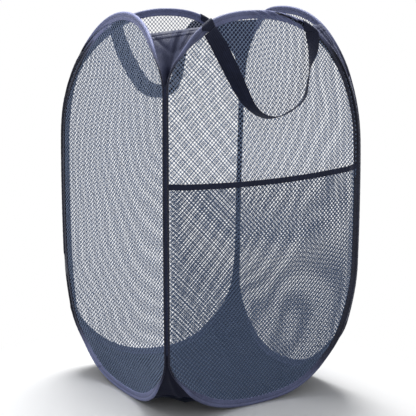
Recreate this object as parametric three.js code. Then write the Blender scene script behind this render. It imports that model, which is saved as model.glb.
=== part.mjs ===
// A pop up laundry hamper. Four net side panels are each held open by a spring-steel hoop
// inside a folded rim, and are sewn together along their corners. Cloth gussets fill the
// corners at the mouth and at the foot, a cloth base hangs between the bottom arcs, the front
// panel carries a net pocket, and the front and back panels carry webbing handles.
// Millimetres, +Z up. The front, with the pocket, faces -Y and the origin is on the floor
// under the middle of the base.

import * as THREE from "three";

// Overall sizes
const HAMPER_WIDTH = 356;
const HAMPER_HEIGHT = 610;
const PANEL_BOW = 20;

// Outline of a hoop: exponents of a rounded oblong, the corners squarer at the foot
const WIDTH_EXPONENT = 2.2;
const TOP_EXPONENT = 4.5;
const FOOT_EXPONENT = 5;
const STATION_COUNT = 48;

// Clearances
const CLEARANCE = 0.3;
const CLOTH_GAP = 0.35;
const STITCH_CLEARANCE = 0.4;

// Spring-steel hoop and the crimped sleeve that joins its ends
const BAND_THICKNESS = 0.8;
const BAND_WIDTH = 2.2;
const BAND_END_GAP = 0.8;
const SLEEVE_WALL = 0.4;
const SLEEVE_LENGTH = 28;

// Rim: folded tape round the hoop, with flanges that grip the net
const TAPE_THICKNESS = 0.7;
const NET_TUCK = 2;
const OPEN_CORNER_FLANGE = 5.5;
const ARC_FLANGE = 7;
const FLANGE_CHANGE_SHARES = [0.6, 0.95];

// Stitches that join neighbouring rims and work as hinges
const STITCH_RADIUS = 0.5;
const STITCH_SIDES = 6;
const STITCH_STATIONS = 1;

// Nets: staggered four-sided gaps, at a coarser pitch than the knitted ones
const NET_THICKNESS = 1;
const NET_PITCH_ACROSS = 68;
const NET_PITCH_UP = 39;
const NET_STRAND = 9;
const NET_BORDER = 5;
const GAP_CORNER_SHARES = [[1, 0], [0, 1], [-1, 0], [0, -1]];
const GAP_REACH_SHARES = [1, 0.95, 0.9, 0.85, 0.8, 0.75, 0.7, 0.65, 0.6, 0.55, 0.5, 0.45, 0.4, 0.35, 0.3];

// Gussets between neighbouring hoops
const GUSSET_THICKNESS = 1.2;
const GUSSET_FIRST_STATION = 1;
const GUSSET_LAST_STATION = 7;
const GUSSET_HEM_THICKNESS = 2.6;
const GUSSET_HEM_HEIGHT = 4.6;

// Base cloth, flat on the floor in the middle and raised to the arcs at its edge
const BASE_THICKNESS = 1.5;
const BASE_SEAT_RAISE = 2;
const BASE_RING_SHARES = [0.47, 0.76, 1];
const BASE_LIFT_SHARES = [0.49, 0.81];

// Pocket on the front panel
const POCKET_MOUTH_DROP = 248;
const POCKET_SAG = 5;
const POCKET_BULGE = 10;
const POCKET_FLANGE_COVER = 4;
const POCKET_HEM_HEIGHT = 7.5;
const POCKET_HEM_FOLD = 0.8;
const POCKET_STATIONS = 12;

// Webbing handles and their sewn ends
const WEBBING_WIDTH = 25;
const WEBBING_THICKNESS = 1.4;
const HANDLE_HALF_SPAN = 90;
const HANDLE_DROP = 122;
const HANDLE_END_HEIGHT = 12;
const HANDLE_END_OVERRUN = 1;
const HANDLE_ROUND_EXPONENT = 2.2;
const HANDLE_STEPS = 28;
const HANDLE_TWIST_SHARES = [0.12, 0.92];

// Sizes that follow
const SLEEVE_BORE_DEPTH = BAND_WIDTH + 2 * CLEARANCE;
const SLEEVE_BORE_REACH = BAND_THICKNESS + 2 * CLEARANCE;
const SLEEVE_DEPTH = SLEEVE_BORE_DEPTH + 2 * SLEEVE_WALL;
const SLEEVE_REACH = SLEEVE_BORE_REACH + 2 * SLEEVE_WALL;
const CAVITY_DEPTH = SLEEVE_DEPTH + 2 * CLEARANCE;
const CAVITY_REACH = SLEEVE_REACH + 2 * CLEARANCE;
const RIM_THICKNESS = CAVITY_DEPTH + 2 * TAPE_THICKNESS;
const RIM_MIDDLE = RIM_THICKNESS / 2;
const CAVITY_END = TAPE_THICKNESS + CAVITY_REACH;
const HOOP_LINE = TAPE_THICKNESS + CAVITY_REACH / 2;
const CLOSED_CORNER_RIM = CAVITY_END + NET_TUCK + CLEARANCE;
const HINGE_OFFSET = HAMPER_WIDTH / 2 - RIM_THICKNESS;
const HALF_WIDTH = HINGE_OFFSET - STITCH_RADIUS - STITCH_CLEARANCE;
const HALF_HEIGHT = HAMPER_HEIGHT / 2;
const POCKET_HEIGHT = HAMPER_HEIGHT - POCKET_MOUTH_DROP;
const POCKET_DEPTH = RIM_THICKNESS + CLEARANCE;
const HANDLE_DEPTH = RIM_THICKNESS + CLEARANCE;

// The side of the front panel on which its corner folds shut: -1 is the left
const FRONT_CLOSING_SIDE = -1;

const TOP_STATION = STATION_COUNT / 4;
const FAR_SIDE_STATION = STATION_COUNT / 2;
const FOOT_STATION = STATION_COUNT * 3 / 4;

const QUARTER_TURN = Math.PI / 2;

const rimCloth = new THREE.MeshStandardMaterial({ color: 0x2c3046, roughness: 0.75, metalness: 0 });
const netYarn = new THREE.MeshStandardMaterial({ color: 0x9aa1b4, roughness: 0.85, metalness: 0 });
const gussetCloth = new THREE.MeshStandardMaterial({ color: 0x434a63, roughness: 0.7, metalness: 0 });
const baseCloth = new THREE.MeshStandardMaterial({ color: 0x262b3c, roughness: 0.8, metalness: 0 });
const webbing = new THREE.MeshStandardMaterial({ color: 0x171a26, roughness: 0.8, metalness: 0 });
const springSteel = new THREE.MeshStandardMaterial({ color: 0x8f9399, roughness: 0.35, metalness: 1 });
const thread = new THREE.MeshStandardMaterial({ color: 0x1f2333, roughness: 0.8, metalness: 0 });

function smoothShare(value, from, to) {
  const share = Math.min(Math.max((value - from) / (to - from), 0), 1);
  return share * share * (3 - 2 * share);
}

function mix(from, to, share) {
  return from + (to - from) * share;
}

// A value raised to a power, with its sign kept
function signedPower(value, exponent) {
  return Math.sign(value) * Math.abs(value) ** exponent;
}

// One closed mesh from its points and triangles, turned so that its faces point out
function closedGeometry(points, triangles) {
  let volume = 0;
  for (const [a, b, c] of triangles) {
    volume += points[a].dot(points[b].clone().cross(points[c]));
  }
  const ordered = volume < 0 ? triangles.map(([a, b, c]) => [a, c, b]) : triangles;
  const geometry = new THREE.BufferGeometry();
  geometry.setAttribute("position", new THREE.Float32BufferAttribute(points.flatMap((p) => p.toArray()), 3));
  geometry.setIndex(ordered.flat());
  geometry.computeVertexNormals();
  return geometry;
}

// Triangles between neighbouring rings of points that all hold the same number of points
function bandTriangles(ringCount, ringSize, closed) {
  const triangles = [];
  const bandCount = closed ? ringCount : ringCount - 1;
  for (let ring = 0; ring < bandCount; ring += 1) {
    const here = ring * ringSize;
    const next = ((ring + 1) % ringCount) * ringSize;
    for (let side = 0; side < ringSize; side += 1) {
      const other = (side + 1) % ringSize;
      triangles.push([here + side, here + other, next + other]);
      triangles.push([here + side, next + other, next + side]);
    }
  }
  return triangles;
}

// A solid that passes through rings of points and comes back to the first one
function ringSolid(rings) {
  return closedGeometry(rings.flat(), bandTriangles(rings.length, rings[0].length, true));
}

// A solid that passes through rings of points, with flat ends of the given outline
function barSolid(rings, outline) {
  const points = rings.flat();
  const size = rings[0].length;
  const triangles = bandTriangles(rings.length, size, false);
  const last = points.length - size;
  for (const [a, b, c] of THREE.ShapeUtils.triangulateShape(outline, [])) {
    triangles.push([a, c, b]);
    triangles.push([last + a, last + b, last + c]);
  }
  return closedGeometry(points, triangles);
}

// Edge triangles between the two faces of a sheet, along one loop of points
function loopWall(first, size, farFace) {
  const triangles = [];
  for (let step = 0; step < size; step += 1) {
    const here = first + step;
    const next = first + (step + 1) % size;
    triangles.push([here, next, farFace + next]);
    triangles.push([here, farFace + next, farFace + here]);
  }
  return triangles;
}

function turnedLoop(loop, clockwise) {
  return THREE.ShapeUtils.isClockWise(loop) === clockwise ? loop : [...loop].reverse();
}

// A sheet with gaps, drawn flat and then put in place face by face. A border strip runs from
// its edge to an inner loop, both drawn anticlockwise, and the gaps lie inside that loop.
function sheetSolid(edge, inner, gaps, placeNear, placeFar) {
  const holes = gaps.map((gap) => turnedLoop(gap, true));
  const flat = [edge, inner, ...holes].flat();
  const farFace = flat.length;
  const points = [...flat.map(placeNear), ...flat.map(placeFar)];
  const border = edge.length;
  const face = bandTriangles(2, border, false);
  for (const [a, b, c] of THREE.ShapeUtils.triangulateShape(inner, holes)) {
    face.push([border + a, border + b, border + c]);
  }
  const triangles = face.flatMap(([a, b, c]) => [[a, c, b], [farFace + a, farFace + b, farFace + c]]);
  triangles.push(...loopWall(0, border, farFace));
  let first = 2 * border;
  for (const hole of holes) {
    triangles.push(...loopWall(first, hole.length, farFace));
    first += hole.length;
  }
  return closedGeometry(points, triangles);
}

// How far a panel leans inwards: nothing at its corners, most at its top and bottom arcs
function inwardBow(across, height) {
  const acrossShare = across / HALF_WIDTH;
  const heightShare = (height - HALF_HEIGHT) / HALF_HEIGHT;
  return PANEL_BOW * (1 - acrossShare ** 2) * heightShare ** 2;
}

// A point of the front panel, by its place on the panel and its depth outwards
function panelPoint(across, height, depth) {
  return new THREE.Vector3(across, inwardBow(across, height) - HINGE_OFFSET - depth, height);
}

// Outline of a hoop's rim at a station, and the inward direction there
function outlineStation(station) {
  const angle = 2 * Math.PI * station / STATION_COUNT;
  const cosine = Math.cos(angle);
  const sine = Math.sin(angle);
  const heightExponent = sine > 0 ? TOP_EXPONENT : FOOT_EXPONENT;
  const acrossShare = signedPower(cosine, 2 / WIDTH_EXPONENT);
  const heightShare = signedPower(sine, 2 / heightExponent);
  const slope = new THREE.Vector2(
    signedPower(acrossShare, WIDTH_EXPONENT - 1) * WIDTH_EXPONENT / HALF_WIDTH,
    signedPower(heightShare, heightExponent - 1) * heightExponent / HALF_HEIGHT,
  );
  return {
    across: acrossShare * HALF_WIDTH,
    height: HALF_HEIGHT + heightShare * HALF_HEIGHT,
    inward: slope.normalize().negate(),
    cosine,
  };
}

// Width of a rim: widest on the arcs, drawn in to a roll at the corner that folds shut
function rimWidth(cosine, closingSide) {
  const sideShare = smoothShare(Math.abs(cosine), ...FLANGE_CHANGE_SHARES);
  const cornerFlange = Math.sign(cosine) === closingSide ? 0 : OPEN_CORNER_FLANGE;
  return CLOSED_CORNER_RIM + mix(ARC_FLANGE, cornerFlange, sideShare);
}

// The points of a section at a station; each has a reach from the rim's edge and a depth
function sectionRing(section, station) {
  const { across, height, inward } = outlineStation(station);
  return section.map(([reach, depth]) => (
    panelPoint(across + inward.x * reach, height + inward.y * reach, depth)
  ));
}

function mixRings(from, to, share) {
  return from.map((point, index) => point.clone().lerp(to[index], share));
}

// Folded tape in section: a closed nose round the hoop and two flanges that grip the net
function rimSection(width) {
  const slotHalf = NET_THICKNESS / 2 + CLEARANCE;
  const tipHalf = slotHalf + TAPE_THICKNESS;
  return [
    [0, 0],
    [0, RIM_THICKNESS - TAPE_THICKNESS],
    [TAPE_THICKNESS, RIM_THICKNESS],
    [CAVITY_END, RIM_THICKNESS],
    [width, RIM_MIDDLE + tipHalf],
    [width, RIM_MIDDLE + slotHalf],
    [CAVITY_END, RIM_THICKNESS - TAPE_THICKNESS],
    [TAPE_THICKNESS, RIM_THICKNESS - TAPE_THICKNESS],
    [TAPE_THICKNESS, TAPE_THICKNESS],
    [CAVITY_END, TAPE_THICKNESS],
    [width, RIM_MIDDLE - slotHalf],
    [width, RIM_MIDDLE - tipHalf],
    [CAVITY_END, 0],
  ];
}

function rimCasing(closingSide) {
  const rings = [];
  for (let station = 0; station < STATION_COUNT; station += 1) {
    const width = rimWidth(outlineStation(station).cosine, closingSide);
    rings.push(sectionRing(rimSection(width), station));
  }
  return ringSolid(rings);
}

// A box-shaped section centred on the line of the hoop
function boxSection(reach, depth) {
  return [
    [HOOP_LINE - reach / 2, RIM_MIDDLE - depth / 2],
    [HOOP_LINE + reach / 2, RIM_MIDDLE - depth / 2],
    [HOOP_LINE + reach / 2, RIM_MIDDLE + depth / 2],
    [HOOP_LINE - reach / 2, RIM_MIDDLE + depth / 2],
  ];
}

function toOutline(section) {
  return section.map(([x, y]) => new THREE.Vector2(x, y));
}

// A ring a short way along the bottom arc, on the straight piece beside its lowest station
function ringBesideFoot(section, distance) {
  const lowest = sectionRing(section, FOOT_STATION);
  const next = sectionRing(section, FOOT_STATION + Math.sign(distance));
  return mixRings(lowest, next, Math.abs(distance) / lowest[0].distanceTo(next[0]));
}

// Flat spring band bent to the outline, whose two ends meet in the sleeve at the foot
function springHoop() {
  const section = boxSection(BAND_THICKNESS, BAND_WIDTH);
  const rings = [ringBesideFoot(section, BAND_END_GAP / 2)];
  for (let step = 1; step < STATION_COUNT; step += 1) {
    rings.push(sectionRing(section, FOOT_STATION + step));
  }
  rings.push(ringBesideFoot(section, -BAND_END_GAP / 2));
  return barSolid(rings, toOutline(section));
}

// Crimped sleeve over both ends of the hoop, open at both ends
function hoopSleeve() {
  const outer = boxSection(SLEEVE_REACH, SLEEVE_DEPTH);
  const bore = boxSection(SLEEVE_BORE_REACH, SLEEVE_BORE_DEPTH);
  const half = SLEEVE_LENGTH / 2;
  return ringSolid([
    ringBesideFoot(outer, -half),
    sectionRing(outer, FOOT_STATION),
    ringBesideFoot(outer, half),
    ringBesideFoot(bore, half),
    sectionRing(bore, FOOT_STATION),
    ringBesideFoot(bore, -half),
  ]);
}

// Whether a flat point lies inside the hoop's outline drawn in by an inset
function insideOutline(across, height, inset) {
  const acrossShare = Math.abs(across) / (HALF_WIDTH - inset);
  const heightShare = (height - HALF_HEIGHT) / (HALF_HEIGHT - inset);
  const exponent = heightShare > 0 ? TOP_EXPONENT : FOOT_EXPONENT;
  return acrossShare ** WIDTH_EXPONENT + Math.abs(heightShare) ** exponent < 1;
}

// Corners of a gap, drawn in towards its middle where they would pass the border of the net
function gapCorners(middle, halfAcross, halfUp, allowed) {
  return GAP_CORNER_SHARES.map(([acrossShare, upShare]) => {
    const places = GAP_REACH_SHARES.map((reachShare) => new THREE.Vector2(
      middle.x + acrossShare * reachShare * halfAcross,
      middle.y + upShare * reachShare * halfUp,
    ));
    return places.find(allowed);
  });
}

// Gaps of a net, in staggered rows, inside the rim and below a ceiling
function netGaps(ceiling) {
  const inset = CLOSED_CORNER_RIM + ARC_FLANGE + NET_BORDER;
  const allowed = ({ x, y }) => insideOutline(x, y, inset) && y < ceiling;
  const halfAcross = (NET_PITCH_ACROSS - NET_STRAND) / 2;
  const halfUp = NET_PITCH_UP - NET_STRAND / 2;
  const rows = Math.ceil(HAMPER_HEIGHT / NET_PITCH_UP / 2);
  const columns = Math.ceil(HAMPER_WIDTH / NET_PITCH_ACROSS / 2) + 1;
  const gaps = [];
  for (let row = -rows; row <= rows; row += 1) {
    for (let column = -columns; column <= columns; column += 1) {
      const shift = row % 2 === 0 ? 0 : 1 / 2;
      const middle = new THREE.Vector2(
        (column + shift) * NET_PITCH_ACROSS,
        HALF_HEIGHT + row * NET_PITCH_UP,
      );
      const corners = gapCorners(middle, halfAcross, halfUp, allowed);
      if (corners.every(Boolean)) {
        gaps.push(corners);
      }
    }
  }
  return gaps;
}

// A loop that follows the free edge of the rim's flanges, a little inside or outside it
function flangeLoop(closingSide, inwards) {
  const loop = [];
  for (let station = 0; station < STATION_COUNT; station += 1) {
    const { across, height, inward, cosine } = outlineStation(station);
    const inset = rimWidth(cosine, closingSide) + inwards;
    loop.push(new THREE.Vector2(across + inward.x * inset, height + inward.y * inset));
  }
  return loop;
}

function sideNet(closingSide) {
  const near = RIM_MIDDLE - NET_THICKNESS / 2;
  const far = RIM_MIDDLE + NET_THICKNESS / 2;
  return sheetSolid(
    flangeLoop(closingSide, -NET_TUCK),
    flangeLoop(closingSide, NET_TUCK),
    netGaps(HAMPER_HEIGHT),
    ({ x, y }) => panelPoint(x, y, near),
    ({ x, y }) => panelPoint(x, y, far),
  );
}

// Row of stitches on the line where two rims meet, about which they hinge
function cornerSeam() {
  const foot = outlineStation(-STITCH_STATIONS).height;
  const top = outlineStation(STITCH_STATIONS).height;
  const outline = [];
  for (let side = 0; side < STITCH_SIDES; side += 1) {
    const angle = 2 * Math.PI * side / STITCH_SIDES;
    outline.push(new THREE.Vector2(Math.cos(angle), Math.sin(angle)).multiplyScalar(STITCH_RADIUS));
  }
  const rings = [foot, top].map((height) => (
    outline.map(({ x, y }) => new THREE.Vector3(x - HINGE_OFFSET, y - HINGE_OFFSET, height))
  ));
  return barSolid(rings, outline);
}

// One level of a corner sheet: a slender box between the edges of the two rims
function cornerRing(edge, thickness) {
  const start = new THREE.Vector3(edge.x, edge.y, edge.z);
  const end = new THREE.Vector3(edge.y, edge.x, edge.z);
  const along = end.clone().sub(start).normalize();
  const outward = new THREE.Vector3(-1, -1, 0).normalize();
  start.addScaledVector(along, CLOTH_GAP);
  end.addScaledVector(along, -CLOTH_GAP);
  return [
    start.clone().addScaledVector(outward, thickness / 2),
    end.clone().addScaledVector(outward, thickness / 2),
    end.clone().addScaledVector(outward, -thickness / 2),
    start.clone().addScaledVector(outward, -thickness / 2),
  ];
}

const CORNER_OUTLINE = toOutline([[0, 0], [1, 0], [1, 1], [0, 1]]);

// The edge of the front rim beside the front left corner, at a station
function cornerEdge(station) {
  return sectionRing([[0, 0]], station)[0];
}

// Cloth between neighbouring hoops, from the end of the stitches to its own free edge
function cornerGusset(stationStep) {
  const rings = [];
  for (let step = GUSSET_FIRST_STATION; step <= GUSSET_LAST_STATION; step += 1) {
    rings.push(cornerRing(cornerEdge(FAR_SIDE_STATION + step * stationStep), GUSSET_THICKNESS));
  }
  return barSolid(rings, CORNER_OUTLINE);
}

// Turned edge on top of a mouth gusset
function gussetHem() {
  const lowStation = FAR_SIDE_STATION - GUSSET_LAST_STATION;
  const low = cornerEdge(lowStation);
  const high = cornerEdge(lowStation - 1);
  const rise = high.z - low.z;
  const rings = [CLOTH_GAP, CLOTH_GAP + GUSSET_HEM_HEIGHT].map((height) => (
    cornerRing(low.clone().lerp(high, height / rise), GUSSET_HEM_THICKNESS)
  ));
  return barSolid(rings, CORNER_OUTLINE);
}

// Height of a bottom arc at a distance from its middle
function footArcHeight(across) {
  const acrossShare = Math.abs(across) / HALF_WIDTH;
  return HALF_HEIGHT * (1 - (1 - acrossShare ** WIDTH_EXPONENT) ** (1 / FOOT_EXPONENT));
}

// Edge of the base cloth, seen from above: it follows the four arcs and cuts the corners
function baseOutline() {
  const cornerStation = FOOT_STATION - TOP_STATION + GUSSET_LAST_STATION;
  const cornerInset = GUSSET_THICKNESS / 2 + CLOTH_GAP;
  const side = [];
  for (let station = cornerStation; station <= 2 * FOOT_STATION - cornerStation; station += 1) {
    const edge = cornerEdge(station);
    const atCorner = Math.abs(station - FOOT_STATION) === FOOT_STATION - cornerStation;
    const inset = atCorner ? cornerInset * Math.SQRT1_2 : 0;
    side.push(new THREE.Vector2(
      edge.x - Math.sign(edge.x) * inset,
      edge.y + Math.max(CLOTH_GAP, inset),
    ));
  }
  const origin = new THREE.Vector2();
  const outline = [];
  for (let turn = 0; turn < 4; turn += 1) {
    outline.push(...side.map((point) => point.clone().rotateAround(origin, turn * QUARTER_TURN)));
  }
  return outline;
}

// Height of the base cloth's underside: flat in the middle, in line with the arcs outside
function baseHeight({ x, y }) {
  const nearer = Math.min(Math.abs(x), Math.abs(y));
  const farther = Math.max(Math.abs(x), Math.abs(y));
  const reach = Math.abs(cornerEdge(FOOT_STATION - TOP_STATION + GUSSET_LAST_STATION).x);
  const [flatShare, edgeShare] = BASE_LIFT_SHARES;
  const lift = smoothShare(farther, flatShare * HINGE_OFFSET, edgeShare * HINGE_OFFSET);
  return lift * (BASE_SEAT_RAISE + footArcHeight(Math.min(nearer, reach)));
}

function baseSheet() {
  const outline = baseOutline();
  const under = BASE_RING_SHARES.map((share) => (
    outline.map((point) => {
      const place = point.clone().multiplyScalar(share);
      return new THREE.Vector3(place.x, place.y, baseHeight(place));
    })
  ));
  const over = under.map((ring) => (
    ring.map(({ x, y, z }) => new THREE.Vector3(x, y, z + BASE_THICKNESS))
  ));
  return barSolid([...under, ...over.reverse()], outline);
}

// Places across the pocket where its mouth is drawn, as shares of its half width
function pocketShares() {
  const shares = [];
  for (let step = 0; step <= POCKET_STATIONS; step += 1) {
    shares.push(2 * step / POCKET_STATIONS - 1);
  }
  return shares;
}

function pocketMouthHeight(across) {
  return POCKET_HEIGHT - POCKET_SAG * (1 - (across / HALF_WIDTH) ** 2);
}

// How far the pocket stands off the panel: nothing at its sides and foot, most at its mouth
function pocketStandOff(across, height) {
  const sideShare = Math.max(1 - (across / HALF_WIDTH) ** 2, 0);
  return POCKET_BULGE * sideShare * Math.min(height / POCKET_HEIGHT, 1);
}

// How far in from the rim's edge the pocket's own edge lies, on the rim's flange
function pocketInset(cosine) {
  return Math.max(rimWidth(cosine, FRONT_CLOSING_SIDE) - POCKET_FLANGE_COVER, TAPE_THICKNESS);
}

// A place across the pocket's mouth, by its share from the left edge, -1, to the right, 1
function pocketMouthAcross(share, inwards) {
  const left = HALF_WIDTH - pocketInset(-1) - inwards;
  const right = HALF_WIDTH - pocketInset(1) - inwards;
  return mix(-left, right, (share + 1) / 2);
}

// A loop round the pocket net: up to its mouth, and round the foot on the rim's flange
function pocketLoop(mouthDrop, inwards) {
  const highest = POCKET_HEIGHT - POCKET_SAG - 2 * POCKET_HEM_HEIGHT;
  const loop = [];
  for (let station = FAR_SIDE_STATION; station <= STATION_COUNT; station += 1) {
    const { across, height, inward, cosine } = outlineStation(station);
    const inset = pocketInset(cosine) + inwards;
    if (height < highest) {
      loop.push(new THREE.Vector2(across + inward.x * inset, height + inward.y * inset));
    }
  }
  for (const share of pocketShares().reverse()) {
    const across = pocketMouthAcross(share, inwards);
    loop.push(new THREE.Vector2(across, pocketMouthHeight(across) - mouthDrop - inwards));
  }
  return loop;
}

// The net lies on the rim at its foot and rises into the slot of the hem at its mouth
function pocketNetSheet() {
  const slotRise = POCKET_HEM_FOLD + CLEARANCE;
  const netTop = POCKET_HEIGHT - POCKET_SAG - POCKET_HEM_HEIGHT - NET_STRAND;
  const place = (depth) => ({ x, y }) => (
    panelPoint(x, y, depth + slotRise * smoothShare(y, 0, netTop) + pocketStandOff(x, y))
  );
  return sheetSolid(
    pocketLoop(slotRise, 0),
    pocketLoop(slotRise, POCKET_HEM_HEIGHT),
    netGaps(netTop),
    place(POCKET_DEPTH),
    place(POCKET_DEPTH + NET_THICKNESS),
  );
}

// Hem folded over the mouth of the pocket net
function pocketHemBand() {
  const slotNear = POCKET_HEM_FOLD;
  const slotFar = slotNear + NET_THICKNESS + 2 * CLEARANCE;
  const thickness = slotFar + POCKET_HEM_FOLD;
  const section = [
    [-POCKET_HEM_HEIGHT, 0],
    [0, 0],
    [0, thickness],
    [-POCKET_HEM_HEIGHT, thickness],
    [-POCKET_HEM_HEIGHT, slotFar],
    [-POCKET_HEM_FOLD, slotFar],
    [-POCKET_HEM_FOLD, slotNear],
    [-POCKET_HEM_HEIGHT, slotNear],
  ];
  const rings = pocketShares().map((share) => {
    const across = pocketMouthAcross(share, 0);
    const mouth = pocketMouthHeight(across);
    return section.map(([rise, depth]) => {
      const height = mouth + rise;
      return panelPoint(across, height, POCKET_DEPTH + depth + pocketStandOff(across, height));
    });
  });
  return barSolid(rings, toOutline(section));
}

// Level at which a handle leaves its sewn ends
const HANDLE_TOP = (() => {
  const acrossShare = HANDLE_HALF_SPAN / HALF_WIDTH;
  const arcShare = (1 - acrossShare ** WIDTH_EXPONENT) ** (1 / TOP_EXPONENT);
  return HALF_HEIGHT + HALF_HEIGHT * arcShare - CLOSED_CORNER_RIM - ARC_FLANGE - HANDLE_END_OVERRUN;
})();

// Sewn end of a handle, flat on the outside of the rim
function handleEnd(sideSign) {
  const foot = HANDLE_TOP + CLOTH_GAP;
  const section = [
    [-WEBBING_WIDTH / 2, 0],
    [WEBBING_WIDTH / 2, 0],
    [WEBBING_WIDTH / 2, WEBBING_THICKNESS],
    [-WEBBING_WIDTH / 2, WEBBING_THICKNESS],
  ];
  const rings = [foot, foot + HANDLE_END_HEIGHT].map((height) => (
    section.map(([side, depth]) => (
      panelPoint(sideSign * HANDLE_HALF_SPAN + side, height, HANDLE_DEPTH + depth)
    ))
  ));
  return barSolid(rings, toOutline(section));
}

// Middle of a hanging strap in the plane of the panel, by its turn from one end to the other
function strapPlace(turn) {
  return new THREE.Vector2(
    -signedPower(Math.cos(turn), 2 / HANDLE_ROUND_EXPONENT) * HANDLE_HALF_SPAN,
    HANDLE_TOP - Math.sin(turn) ** (2 / HANDLE_ROUND_EXPONENT) * HANDLE_DROP,
  );
}

// Direction of a hanging strap, straight down at its start and straight up at its end
function strapDirection(step) {
  if (step === 0 || step === HANDLE_STEPS) {
    return new THREE.Vector2(0, step === 0 ? -1 : 1);
  }
  const before = strapPlace(Math.PI * (step - 1) / HANDLE_STEPS);
  const after = strapPlace(Math.PI * (step + 1) / HANDLE_STEPS);
  return after.sub(before).normalize();
}

// A webbing strap that hangs in a U, flat on the panel at its ends and turned edge on below
function hangingHandle() {
  const section = [[-1, -1], [1, -1], [1, 1], [-1, 1]];
  const rings = [];
  for (let step = 0; step <= HANDLE_STEPS; step += 1) {
    const turn = Math.PI * step / HANDLE_STEPS;
    const place = strapPlace(turn);
    const along = strapDirection(step);
    const twist = QUARTER_TURN * smoothShare(Math.sin(turn), ...HANDLE_TWIST_SHARES);
    const flat = Math.cos(twist);
    const proud = Math.sin(twist);
    const middleDepth = HANDLE_DEPTH + WEBBING_THICKNESS / 2 * flat + WEBBING_WIDTH / 2 * proud;
    rings.push(section.map(([broadSign, thinSign]) => {
      const broad = broadSign * WEBBING_WIDTH / 2;
      const thin = thinSign * WEBBING_THICKNESS / 2;
      const sideways = broad * flat - thin * proud;
      const across = place.x - along.y * sideways;
      const height = place.y + along.x * sideways;
      return panelPoint(across, height, middleDepth + broad * proud + thin * flat);
    }));
  }
  return barSolid(rings, toOutline(section));
}

const PANELS = [
  { name: "front", turns: 0, closingSide: FRONT_CLOSING_SIDE, handle: true },
  { name: "right", turns: 1, closingSide: 1, handle: false },
  { name: "back", turns: 2, closingSide: -1, handle: true },
  { name: "left", turns: 3, closingSide: 1, handle: false },
];

const CORNERS = ["front_left", "front_right", "back_right", "back_left"];

const hamper = new THREE.Group();

function turnedGroup(turns) {
  const group = new THREE.Group();
  group.rotation.z = turns * QUARTER_TURN;
  hamper.add(group);
  return group;
}

function addPiece(group, name, geometry, material) {
  const mesh = new THREE.Mesh(geometry, material.clone());
  mesh.name = name;
  group.add(mesh);
}

for (const { name, turns, closingSide, handle } of PANELS) {
  const group = turnedGroup(turns);
  addPiece(group, `${name}_net`, sideNet(closingSide), netYarn);
  addPiece(group, `${name}_casing`, rimCasing(closingSide), rimCloth);
  addPiece(group, `${name}_hoop`, springHoop(), springSteel);
  addPiece(group, `${name}_hoop_sleeve`, hoopSleeve(), springSteel);
  if (handle) {
    addPiece(group, `${name}_handle`, hangingHandle(), webbing);
    addPiece(group, `${name}_handle_end_left`, handleEnd(-1), webbing);
    addPiece(group, `${name}_handle_end_right`, handleEnd(1), webbing);
  }
}

for (const [turns, corner] of CORNERS.entries()) {
  const group = turnedGroup(turns);
  addPiece(group, `corner_seam_${corner}`, cornerSeam(), thread);
  addPiece(group, `top_gusset_${corner}`, cornerGusset(-1), gussetCloth);
  addPiece(group, `top_gusset_hem_${corner}`, gussetHem(), gussetCloth);
  addPiece(group, `bottom_gusset_${corner}`, cornerGusset(1), baseCloth);
}

addPiece(hamper, "base_cloth", baseSheet(), baseCloth);
addPiece(hamper, "pocket_net", pocketNetSheet(), netYarn);
addPiece(hamper, "pocket_hem", pocketHemBand(), rimCloth);

export default hamper;
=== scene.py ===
"""A pop up laundry hamper: net panels on spring hoops, cloth rims and gussets, a pocket and handles."""

import math
from functools import partial, partialmethod

import bpy
import numpy as np
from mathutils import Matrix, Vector


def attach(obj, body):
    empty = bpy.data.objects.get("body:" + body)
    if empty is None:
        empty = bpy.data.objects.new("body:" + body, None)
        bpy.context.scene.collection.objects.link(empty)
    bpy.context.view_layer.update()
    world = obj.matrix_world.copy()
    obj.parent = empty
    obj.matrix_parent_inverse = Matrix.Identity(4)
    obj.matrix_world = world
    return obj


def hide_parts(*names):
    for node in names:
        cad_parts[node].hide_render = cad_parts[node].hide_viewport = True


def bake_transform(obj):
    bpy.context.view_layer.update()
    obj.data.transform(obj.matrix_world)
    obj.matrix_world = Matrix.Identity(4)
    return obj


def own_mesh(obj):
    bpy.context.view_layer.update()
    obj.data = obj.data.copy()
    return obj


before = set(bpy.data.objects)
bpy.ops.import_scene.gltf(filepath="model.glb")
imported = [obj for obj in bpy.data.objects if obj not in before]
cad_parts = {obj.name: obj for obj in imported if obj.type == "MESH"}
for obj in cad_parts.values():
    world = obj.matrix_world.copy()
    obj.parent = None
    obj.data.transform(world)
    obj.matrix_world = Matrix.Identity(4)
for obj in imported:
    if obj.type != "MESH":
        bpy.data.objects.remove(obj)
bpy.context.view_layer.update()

# Sizes in metres, as in the part's source
HALF_WIDTH = 0.1715
HALF_HEIGHT = 0.305
HINGE = 0.1724
BOW = 0.020
RIM_MIDDLE = 0.0028
WIDTH_POWER = 2.2
TOP_POWER = 4.5
FOOT_POWER = 5.0
ROLL_WIDTH = 0.0058
ARC_FLANGE = 0.007
OPEN_FLANGE = 0.0055
TURN_COSINES = (1, 0, -1, 0)
TURN_SINES = (0, 1, 0, -1)
PANELS = ("front", "right", "back", "left")
CLOSING = {"front": -1, "right": 1, "back": -1, "left": 1}


# Camera, lamps and floor

def put(name, data):
    """A new object in the scene."""
    made = bpy.data.objects.new(name, data)
    bpy.context.scene.collection.objects.link(made)
    return made


def stand(name, data, place, direction):
    """A camera or a lamp at a place, looking in a direction."""
    made = put(name, data)
    made.location = place
    made.rotation_mode = "QUATERNION"
    made.rotation_quaternion = direction.to_track_quat("-Z", "Y")
    return made


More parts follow.
